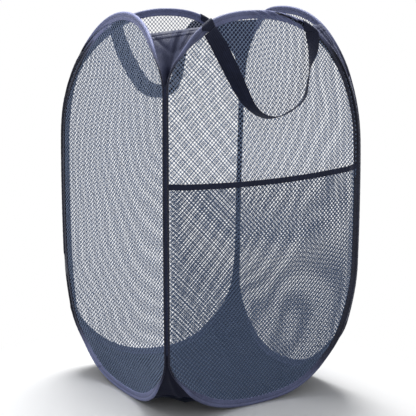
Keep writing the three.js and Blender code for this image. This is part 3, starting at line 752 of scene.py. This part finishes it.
def tuck_in(least):
    """What moves points that lie nearer than least to the outline, or outside it, inwards along its slope."""
    def settle(flat):
        for _ in range(2):
            away, inward_a, inward_z = edge_distance(flat[:, 0], flat[:, 1])
            short = np.clip(least - away, 0, None)
            flat = flat + np.stack([inward_a, inward_z], -1) * short[:, None]
        return flat
    return settle


def under_rim(a, z, closing):
    """How far a net's edge reaches sideways under the slim rim of the closing side: 1.7 mm, within 14 mm of the
    outline."""
    return closing * 0.0017 * slim(a, closing) * (1 - smooth(edge_distance(a, z)[0], 0.003, 0.014))


def make_net(panel, finish):
    """Side net: cells inside the outline, on the panel's bowed surface, domed along the yarn by a quarter of a
    millimetre."""
    turns = PANELS.index(panel)
    hole, loose = (0.98, 0.0010) if panel in ("right", "back") else (1.0, 0.0005)

    def inside(x, y):
        return edge_distance(x, y)[0] > 0.0030

    a, z, quads, dense = net_cells(panel, inside, 100 + turns, tuck_in(0.0026), hole)
    free = smooth(edge_distance(a, z)[0], 0.014, 0.07)
    a = a + loose * sway(a, z, 110 + turns) * free + under_rim(a, z, CLOSING[panel])
    z = z + loose * sway(a, z, 120 + turns) * free
    depth = RIM_MIDDLE + 0.0009 * sway(a, z, 130 + turns) * free + 0.00028 * (dense > 0.1) - 0.00014
    face, sides = knit(panel, turns, a, z, depth, quads, dense, finish)


POCKET_HEIGHT = 0.362
# Where the pocket's net lies at its sewn edge, and how far it stands proud of the panel's inner face low down
POCKET_EDGE_DEPTH = 0.0034
POCKET_LOW_DEPTH = 0.0046


def pocket_mouth(a):
    """Height of the pocket's mouth: it sags by 5 mm in the middle, and is sewn a little higher on the right, by
    the square of the place across from the left."""
    across = a / HALF_WIDTH
    return POCKET_HEIGHT - 0.005 * (1 - across ** 2) + 0.0045 + 0.0055 * ((1 + across) / 2) ** 2


def pocket_depth(a, z):
    """Depth of the pocket: sewn in under the rim at its edge, lying on the net low down, and standing off at its
    mouth by up to 13 mm, as 1 less the square of the place across, times the cube of the height."""
    away = edge_distance(a, z)[0]
    width = rim_width(a, CLOSING["front"])
    out = smooth(away, width - 0.002, width + 0.020)
    stand = 0.010 * np.clip(1 - (a / HALF_WIDTH) ** 2, 0, 1) * np.clip(z / POCKET_HEIGHT, 0, 1) ** 3
    proud = POCKET_LOW_DEPTH + 0.0029 * smooth(z, 0.2, POCKET_HEIGHT) + stand
    return POCKET_EDGE_DEPTH + (proud - POCKET_EDGE_DEPTH) * out


def make_pocket(net, tape):
    """Pocket net with a folded hem along its mouth."""
    def inside(x, y):
        return (edge_distance(x, y)[0] > 0.0034) & (y < pocket_mouth(x) - 0.0040)

    a, z, quads, dense = net_cells("front", inside, 140, tuck_in(0.0030), 0.94, 0.0019)
    free = smooth(edge_distance(a, z)[0], 0.014, 0.07) * smooth(pocket_mouth(a) - z, 0.004, 0.05)
    a = a + 0.0005 * sway(a, z, 110) * free + under_rim(a, z, CLOSING["front"])
    z = z + 0.0005 * sway(a, z, 120) * free
    depth = pocket_depth(a, z) + 0.0009 * sway(a, z, 130) * free + 0.00028 * (dense > 0.1)
    face, sides = knit("pocket", 0, a, z, depth, quads, dense, net)
    count, around = 260, 20
    across = np.linspace(-HALF_WIDTH + 0.0018, HALF_WIDTH - 0.0055, count)
    mouth = pocket_mouth(across)
    thick = 0.0005 + 0.0011 * smooth(edge_distance(across, mouth)[0], 0.006, 0.020)
    crimp = 0.00022 * ripples(np.linspace(0, 1, count), [29, 41, 53, 67], 150)[:, None]
    turn = np.linspace(0, 2 * math.pi, around + 1)[:-1]
    rise = -0.0044 + 0.0043 * signed_power(np.sin(turn), 0.45)
    out = signed_power(np.cos(turn), 0.7)
    groove = 1 - 0.35 * bell(rise + 0.0068, 0.0006)
    height = mouth[:, None] + rise + crimp
    depth = pocket_depth(across[:, None], height) + 0.0005 + thick[:, None] * out * groove + 1.5 * crimp
    points = on_panel(0, np.broadcast_to(across[:, None], height.shape), height, depth)
    along = np.concatenate([across - across[0], [across[-1] - across[0]]])
    quads, weave = tube(count, around, along, np.linspace(0, 0.018, around + 1))
    band = make_piece("pocket_band", points, quads, tape, weave)
    join(band, "pocket_hem", "front_panel")


# Corner cloth

def rim_edge(turns, side, z, reach, depth):
    """A point on a panel's rim at a height: a = A(1 - |z/H|^m)^(1/2.2) on its left or right side, moved inwards
    by reach."""
    return on_rim(turns, with_inward(side * (HALF_WIDTH - corner_gap(z)), z), reach, depth)


def corner_sheet(corner, heights, across_count, folds, reach=0.0022, depth=0.0016):
    """Cloth between two rims, sewn in and out from their edges by reach and depth: straight lines from one to
    the other, moved out and in along the corner's diagonal by folds."""
    start = rim_edge(corner, -1, heights, reach, depth)
    end = rim_edge((corner - 1) % 4, 1, heights, reach, depth)
    share = np.linspace(0, 1, across_count)
    sheet = start[:, None] * (1 - share)[None, :, None] + end[:, None] * share[None, :, None]
    span = np.linalg.norm(end - start, axis=-1)
    offset = folds(share[None, :], heights[:, None], span[:, None])
    return sheet + offset[..., None] * CORNER_OUTWARDS[corner]


CORNERS = ("front_left", "front_right", "back_right", "back_left")
CORNER_BODIES = (("front_panel", "left_panel"), ("front_panel", "right_panel"), None, ("left_panel", "back_panel"))
# Where the tape is sewn on each rim: in from its edge, and out from its inner face
TAPE_REACH = 0.0006
TAPE_DEPTH = 0.0020


def top_folds(share, height, span, deep):
    """Bulge inwards below the mouth, up to deep metres, and soft upright folds that fade down to the seam."""
    rise = smooth(height, 0.49, 0.575)
    wide = np.sin(math.pi * share)
    folds = 0.0042 * bell(share - 0.2, 0.06) + 0.0052 * bell(share - 0.47, 0.05)
    folds = folds + 0.0030 * bell(share - 0.74, 0.08) - 0.0040 * bell(share - 0.34, 0.06)
    crease = height - 0.5530 - 0.075 * np.clip(share - 0.45, 0, 1) ** 1.5
    folds = folds - 0.0034 * np.exp(-np.abs(crease / 0.0035) ** 1.5) * smooth(share, 0.02, 0.12)
    inward = 0.05 * span + (1 - rise) * np.minimum(1.9 * span, deep)
    return (rise * folds * smooth(span, 0.02, 0.07) - inward * wide) * wide ** 0.5


def bottom_folds(share, height, span):
    """A slack sheet that sags a little inwards, with one slanted fold."""
    wide = np.sin(math.pi * share)
    fold = 0.003 * bell(share - 0.35 - 1.2 * height, 0.12)
    return (fold - 0.06 * span) * wide * smooth(span, 0.004, 0.04)


def tape_bulge(share, height, span):
    """A shallow outward arch."""
    return 0.0006 * np.sin(math.pi * share)


def attach_corner(made, node):
    """Hides the solid a piece stands for, and bakes the piece's place into its mesh."""
    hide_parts(node)
    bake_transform(made)


def corner_piece(name, node, sheet, thickness, finish, corner):
    """One piece at three corners, and two halves of it at the open corner."""
    name, node = name + "_" + CORNERS[corner], node + "_" + CORNERS[corner]
    if CORNER_BODIES[corner]:
        made = shell(name, sheet, thickness, finish)
        attach_corner(made, node)
        return [made]
    middle = sheet.shape[1] // 2
    halves = []
    for side, part, axis, body in (("_near", sheet[:, :middle + 1], (0, 1, 0), "back_panel"),
                                   ("_far", sheet[:, middle:], (1, 0, 0), "right_panel")):
        made = join(shell(name + side, part, thickness, finish), node, body)
        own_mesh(made)
        halves.append(made)
    return halves


def make_gussets(cloth, foot, tape):
    """Mouth gussets with turned hems, foot gussets, and the tape that joins the rims between them."""
    place = np.linspace(0, 1, 17)
    hem_thickness = 0.0009 + 0.0019 * np.sin(0.12 + (math.pi - 0.24) * place) ** 0.6
    hem_thickness = (hem_thickness - 0.0012 * bell(place - 0.45, 0.09))[:, None]
    for corner in range(4):
        folds = partial(top_folds, deep=0.026 if corner == 0 else 0.004)
        sheet = corner_sheet(corner, np.linspace(0.4284, 0.5805, 70), 57, folds)
        upper = corner_piece("mouth_gusset", "top_gusset", sheet, 0.0007, cloth, corner)
        sheet = corner_sheet(corner, np.linspace(0.5760, 0.5851, 17), 57, folds)
        hems = corner_piece("mouth_hem", "top_gusset_hem", sheet, hem_thickness, cloth, corner)
        sheet = corner_sheet(corner, np.linspace(0.0317, 0.1699, 60), 49, bottom_folds)
        lower = corner_piece("foot_gusset", "bottom_gusset", sheet, 0.0008, foot, corner)
        sheet = corner_sheet(corner, np.linspace(0.112, 0.506, 120), 15, tape_bulge, TAPE_REACH, TAPE_DEPTH)
        corner_piece("corner_tape", "corner_seam", sheet, 0.0006, tape, corner)


# Base cloth

def foot_height(a):
    """Height of a bottom arc: H(1 - (1 - |a/A|^2.2)^(1/5))."""
    share = np.clip(np.abs(a) / HALF_WIDTH, 0, 1)
    return HALF_HEIGHT * (1 - (1 - share ** WIDTH_POWER) ** (1 / FOOT_POWER))


# Half of a quarter's sewn edge, along its panel
BASE_REACH = 0.1161
BASE_DEPTH = 0.0012
# Where slanted folds of the base cloth lie
BASE_FOLDS = (-0.098, -0.080, -0.059)


def base_height(x, y):
    """Height of the base cloth: flat in the middle, then lifting to 2 mm over the height of the nearest arc."""
    nearer = np.minimum(np.abs(x), np.abs(y))
    farther = np.maximum(np.abs(x), np.abs(y))
    lift = smooth(farther, 0.49 * HINGE, 0.81 * HINGE)
    creases = 0.00035 * sway(x, y, 160) + 0.0003 * sway(2.3 * x, 2.3 * y, 161)
    folds = sum(bell(x + 0.8 * (y + HINGE) - line, 0.0026) for line in BASE_FOLDS)
    raised = 0.0020 + foot_height(np.minimum(nearer, BASE_REACH)) - 0.0016 * folds
    return 0.0010 + lift * raised + creases * (0.4 + 1.6 * lift)


def make_base(finish):
    """Four triangular quarters that meet on the diagonals. Points lie on straight lines from the middle to the
    plain edge, their height follows base_height, and they move with the sewn edge by the square of their
    distance out."""
    arc = np.linspace(-BASE_REACH, BASE_REACH, 61)
    z = foot_height(arc) + 0.0020
    plain = lean(arc, z, 0) - HINGE - BASE_DEPTH
    corner = (BASE_REACH - plain[0]) / 2
    start = np.linspace([-corner, -corner], [arc[0], plain[0]], 13)[:-1]
    end = np.linspace([arc[-1], plain[-1]], [corner, -corner], 13)[1:]
    edge = np.concatenate([start, np.stack([arc, plain], -1), end])
    radius = np.linspace(0.004, 1, 56)[:, None] ** 0.9
    for turns, panel in enumerate(PANELS):
        sewn = on_panel(turns, arc, z, BASE_DEPTH)[:, :2]
        before = on_panel((turns - 1) % 4, arc[-1], z[-1], BASE_DEPTH)[:2]
        after = on_panel((turns + 1) % 4, arc[0], z[0], BASE_DEPTH)[:2]
        start = np.linspace((before + sewn[0]) / 2, sewn[0], 13)[:-1]
        end = np.linspace(sewn[-1], (sewn[-1] + after) / 2, 13)[1:]
        moved = np.concatenate([start, sewn, end])
        edge_x, edge_y = turned(turns, edge[:, 0], edge[:, 1])
        x, y = edge_x * radius, edge_y * radius
        height = base_height(x, y)
        x, y = x + (moved[:, 0] - edge_x) * radius ** 2, y + (moved[:, 1] - edge_y) * radius ** 2
        made = shell("base_quarter_" + panel, np.stack([x, y, height], -1), 0.0009, finish)
        join(made, "base_cloth", panel + "_panel")
        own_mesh(made)


# Handles

HANDLE_DEPTH = 0.0059
WEBBING_HALF = 0.0125
STRAP_HALF = 0.0007
STRAP_STEPS = 220
# Middle of the hanging straps, across and up in millimetres
FRONT_ROUTE = [
    (-91, 578), (-85, 571), (-79, 555), (-74, 547), (-65, 530), (-57, 512), (-50, 495), (-41, 478),
    (-35, 469), (-23, 459), (-13, 455), (-3, 452), (8, 452), (17, 454), (25, 456), (35, 461), (44, 465),
    (57, 473), (65, 482), (69, 491), (72, 500), (75, 509), (78, 518), (81, 527), (84, 536), (90, 545),
    (95, 554), (98, 564), (97, 578),
]
BACK_ROUTE = [
    (87, 578), (78, 556), (66, 533), (51, 510), (37, 490), (21, 474), (2, 466), (-26, 466), (-38, 478),
    (-41, 499), (-41, 516), (-43, 537), (-54, 561), (-70, 577), (-90, 580),
]
# Twist in degrees at shares of a strap's length: flat, then nearly edge on round the bottom and up one side
FRONT_TWIST = (
    [0, 0.04, 0.10, 0.23, 0.29, 0.315, 0.345, 0.38, 0.42, 0.47, 0.60, 0.78, 0.82, 0.85, 0.88, 0.91, 0.94, 0.97, 1],
    [0, 12, 40, 52, 60, 67, 75, 82, 84, 79, 72, 59, 56, 47, 34, 20, 9, 2, 0],
)
BACK_TWIST = ([0, 0.35, 0.5, 0.7, 1], [0, 8, 18, 6, 0])
# The strap ends' middles across their panel, on its left and right side, and the height of their lower edge
HANDLE_ENDS = {"front": {-1: -0.0905, 1: 0.096}, "back": {-1: -0.09, 1: 0.087}}
END_LOW = 0.5783


def strap_line(route):
    """A smooth line through a route: straight runs between its places, evened out by repeated averaging of
    neighbours, with the ends held."""
    places = np.array(route, float) / 1000
    run = distances(places)
    share = np.linspace(0, run[-1], STRAP_STEPS)
    return even_out(np.stack([np.interp(share, run, places[:, 0]), np.interp(share, run, places[:, 1])], -1), 60)


def make_handle(panel, route, twists, finish):
    """Webbing carried along the line: 25 mm wide, flat on the panel at twist 0 and standing edge on at a
    quarter turn. The twist follows its table, evened out along the strap."""
    turns = PANELS.index(panel)
    line = strap_line(route)
    run = distances(line)
    along = unit(np.gradient(line, axis=0))
    share = run / run[-1]
    twist = even_out(np.radians(np.interp(share, *twists)), 50)
    flat, proud = np.cos(twist)[:, None], np.sin(twist)[:, None]
    turn = np.linspace(0, 2 * math.pi, 25)[:-1]
    broad = WEBBING_HALF * signed_power(np.cos(turn), 0.35)[None]
    thin = STRAP_HALF * signed_power(np.sin(turn), 0.35)[None]
    curl = 0.0006 * ripples(share, [2, 3, 5], turns + 170)[:, None]
    sideways = broad * flat - thin * proud
    middle = HANDLE_DEPTH + STRAP_HALF * np.abs(flat) + WEBBING_HALF * np.abs(proud) + 0.0004 + np.abs(curl)
    a = line[:, :1] - along[:, 1:] * sideways
    z = line[:, 1:] + along[:, :1] * sideways
    points = on_panel(turns, a, z, middle + broad * proud + thin * flat + curl * (broad / WEBBING_HALF) ** 2)
    quads, weave = tube(STRAP_STEPS, len(turn), np.append(run, run[-1]), np.append(broad[0], broad[0][0]))
    made = make_piece(panel + "_strap", points, quads, finish, weave)
    join(made, panel + "_handle", panel + "_handle")


def make_handle_end(panel, side, finish):
    """Sewn end of a strap: flat on the rim's outer face, half a circle over its top, and a little way down its
    inner face."""
    turns = PANELS.index(panel)
    across = np.linspace(-WEBBING_HALF, WEBBING_HALF, 15)
    slant = -0.4 if (panel, side) == ("front", -1) else 0
    a = HANDLE_ENDS[panel][side] + across
    beside = np.abs((a + slant * 0.012) / HALF_WIDTH) ** WIDTH_POWER
    top = HALF_HEIGHT + HALF_HEIGHT * (1 - beside) ** (1 / TOP_POWER)
    turn = np.linspace(0, 1, 40)
    angle = np.interp(turn, [0.42, 0.66], [0, math.pi])
    wrap = 0.0036
    roll_depth = RIM_MIDDLE + wrap * np.cos(angle)
    outer = np.interp(turn, [0, 0.42], [1, 0])
    inner = np.interp(turn, [0.66, 1], [0, 1])
    base = top - 0.0028
    z = base[None] - outer[:, None] * (base - END_LOW)[None] - inner[:, None] * 0.0075
    z = z + wrap * np.sin(angle)[:, None]
    points = on_panel(turns, a[None] + slant * (z - END_LOW), z, np.broadcast_to(roll_depth[:, None], z.shape))
    name = {-1: "left", 1: "right"}[side]
    made = shell(panel + "_strap_end_" + name, points, 0.0013, finish)
    join(made, panel + "_handle_end_" + name, panel + "_panel")


# Stitches

def bead_rows(name, centres, along, normal, size, finish):
    """Many short stitches in one mesh: each is a four-sided bead of three rings, from its centre, its direction
    and the way it faces."""
    rings = np.array([-1.0, -0.55, 0.55, 1.0])
    swell = np.array([0.25, 1.0, 1.0, 0.25])
    turn = np.arange(4) * math.pi / 2 + math.pi / 4
    side = np.cross(along, normal)
    length, width, height = size
    ring = (along[:, None, None] * rings[None, :, None, None] * length / 2
            + side[:, None, None] * (swell[:, None] * np.cos(turn))[None, :, :, None] * width / 2
            + normal[:, None, None] * (swell[:, None] * np.sin(turn))[None, :, :, None] * height / 2)
    points = centres[:, None, None] + ring
    quads = quad_grid(4, 4, False, True).reshape(-1, 4)
    quads = np.concatenate([quads, [[3, 2, 1, 0]], [[12, 13, 14, 15]]])
    offset = np.arange(len(centres))[:, None, None] * 16
    return make_piece(name, points, quads[None] + offset, finish)


def make_rim_stitches(panel, finish):
    """Rows of stitches in the groove between the roll and the flange, on both faces."""
    turns = PANELS.index(panel)
    line, _ = hoop_line(490)
    wide = rim_width(line[0], CLOSING[panel]) > 0.0075
    groove_reach, groove_half = 0.0066, 0.00135
    rows = []
    for face in (-1, 1):
        depth = RIM_MIDDLE + face * groove_half
        centre = on_rim(turns, line, groove_reach, depth)
        after = unit(np.roll(centre, -1, 0) - np.roll(centre, 1, 0))
        out = unit(on_rim(turns, line, 0, depth + face * 0.001) - on_rim(turns, line, 0, depth))
        rows.append((centre[wide], after[wide], out[wide]))
    centres, along, normal = (np.concatenate([row[k] for row in rows]) for k in range(3))
    made = bead_rows(panel + "_rim_stitches", centres, along, normal, (0.0024, 0.0005, 0.0005), finish)
    join(made, None, panel + "_panel")


def make_corner_stitches(finish):
    """Two rows of slanted stitches down each corner's tape, one beside each rim, each riding on its rim's panel."""
    heights = np.linspace(0.122, 0.500, 96)
    for corner in range(4):
        sheet = corner_sheet(corner, heights, 15, tape_bulge, TAPE_REACH, TAPE_DEPTH)
        outward = CORNER_OUTWARDS[corner]
        across = unit(sheet[:, -1] - sheet[:, 0])
        for column, slant, panel in ((2, 0.3, PANELS[corner]), (12, -0.3, PANELS[corner - 1])):
            direction = unit(across * slant + np.array([0, 0, 0.95]))
            centres = sheet[:, column] + outward * 0.0004
            name = "corner_stitches_" + CORNERS[corner] + "_" + panel
            facing = np.broadcast_to(outward, centres.shape)
            made = bead_rows(name, centres, direction, facing, (0.0028, 0.0006, 0.0005), finish)
            join(made, None, panel + "_panel")


# Floor and light

def make_floor():
    """A pale floor that keeps shadows; away from the hamper the camera sees it as white."""
    size = 6.0
    mesh = bpy.data.meshes.new("floor")
    mesh.from_pydata([(-size, -size, 0), (size, -size, 0), (size, size, 0), (-size, size, 0)], [], [(0, 1, 2, 3)])
    floor = put("floor", mesh)
    finish = Finish("floor", Roughness=0.9)
    x, y, _ = finish.split(finish.place())
    across, away = x + 0.11, y + 0.12
    far = (across * across + away * away).maths("SQRT").between(0.24, 0.46)
    finish.feed(Base_Color=finish.blend_colors(finish.ray("Camera"), (0.42, 0.42, 0.42), (0.86, 0.86, 0.86)))
    glow = finish.add("ShaderNodeEmission", None, {"Color": (1, 1, 1), "Strength": 1.0})
    mixed = finish.add("ShaderNodeMixShader", None, [far * finish.seen(), finish.shader.outputs[0], glow.outputs[0]])
    finish.fill(finish.tree.nodes["Material Output"].inputs["Surface"], mixed.outputs[0])
    mesh.materials.append(finish.material)


def set_world():
    """White backdrop for the camera, and an even pale light for everything else."""
    world = bpy.data.worlds.new("studio")
    bpy.context.scene.world = world
    world.use_nodes = True
    nodes = Nodes(world.node_tree)
    pale = nodes.tree.nodes["Background"]
    nodes.fill(pale.inputs["Color"], (0.94, 0.96, 1))
    nodes.fill(pale.inputs["Strength"], 0.33)
    white = nodes.add("ShaderNodeBackground", None, {"Color": (1, 1, 1), "Strength": 1.0})
    mix = nodes.add("ShaderNodeMixShader", None, [nodes.seen(), pale.outputs[0], white.outputs[0]])
    nodes.fill(nodes.tree.nodes["World Output"].inputs["Surface"], mix.outputs[0])


bpy.context.scene.view_settings.view_transform = "Standard"
set_camera()
set_world()
make_floor()
soft_lamp("top", (0.38, 0.80, 2.45), (0, 0, 0.3), 1.3, 82)
soft_lamp("left", (-2.0, 0.2, 2.3), (0, 0, 0.55), 1.2, 8)
soft_lamp("fill", (-0.5, -2.7, 1.0), (0, 0, 0.3), 1.8, 8)

# rim_tape: its raised lavender colour is a painted highlight, shown where painted_highlight makes the arcs paler
tape = woven("rim_tape", tone(17, 20, 35), tone(140, 147, 190), 0.0007, 0.00012, 0.4, 0.14, 0.6,
             tint=(0.6, 0.63, 0.95), gloss=0.2, level=0.08, painted_highlight=0.55)
cloth = woven("gusset_cloth", tone(40, 43, 62), tone(92, 97, 126), 0.0005, 0.00008, 0.5, sheen=0.3)
# base_cloth is a darker copy of the gusset cloth for the base inside the hamper: painted shade
base = woven("base_cloth", tone(9, 16, 32), tone(24, 37, 63), roughness=0.62)
# a darker copy of the gusset cloth for the foot gussets: painted shade
foot = woven("foot_cloth_painted_shade", tone(22, 24, 38), tone(50, 52, 74))
hem = woven("pocket_tape", tone(20, 24, 40), tone(48, 54, 78), 0.0007, 0.00012)
corner_tape = woven("corner_tape", tone(28, 32, 52), tone(58, 66, 94), roughness=0.5, sheen=0.2)
strap = webbing_finish()
yarn = net_finish("net_yarn", tone(150, 168, 198), tone(115, 133, 165))
# a paler, lit copy of net_yarn for the right and back nets: painted light
far_yarn_painted_light = net_finish("far_net_yarn_painted_light", tone(200, 205, 218), tone(168, 175, 194))
# a darker, shaded copy of net_yarn for the pocket low on the front: painted shade
pocket_yarn_painted_shade = net_finish("pocket_yarn_painted_shade", tone(97, 114, 143), tone(66, 81, 108))
thread = grained(Finish("sewing_thread", Sheen_Weight=0.2), (1800, 2, 0.5), tone(26, 29, 44), tone(62, 68, 92),
                 0.4, 0.00008, 0.5)
steel = grained(Finish("spring_steel", Metallic=1.0), (900, 3, 0.6), tone(120, 124, 132), tone(170, 172, 178),
                0.3, 0.00005, 0.4)

for panel in PANELS:
    make_net(panel, far_yarn_painted_light if panel in ("right", "back") else yarn)
    make_rim(panel, tape)
    make_hoop(panel, steel)
    make_rim_stitches(panel, thread)
make_pocket(pocket_yarn_painted_shade, hem)
make_gussets(cloth, foot, corner_tape)
make_base(base)
make_handle("front", FRONT_ROUTE, FRONT_TWIST, strap)
make_handle("back", BACK_ROUTE, BACK_TWIST, strap)
for panel in ("front", "back"):
    for side in (-1, 1):
        make_handle_end(panel, side, strap)
make_corner_stitches(thread)
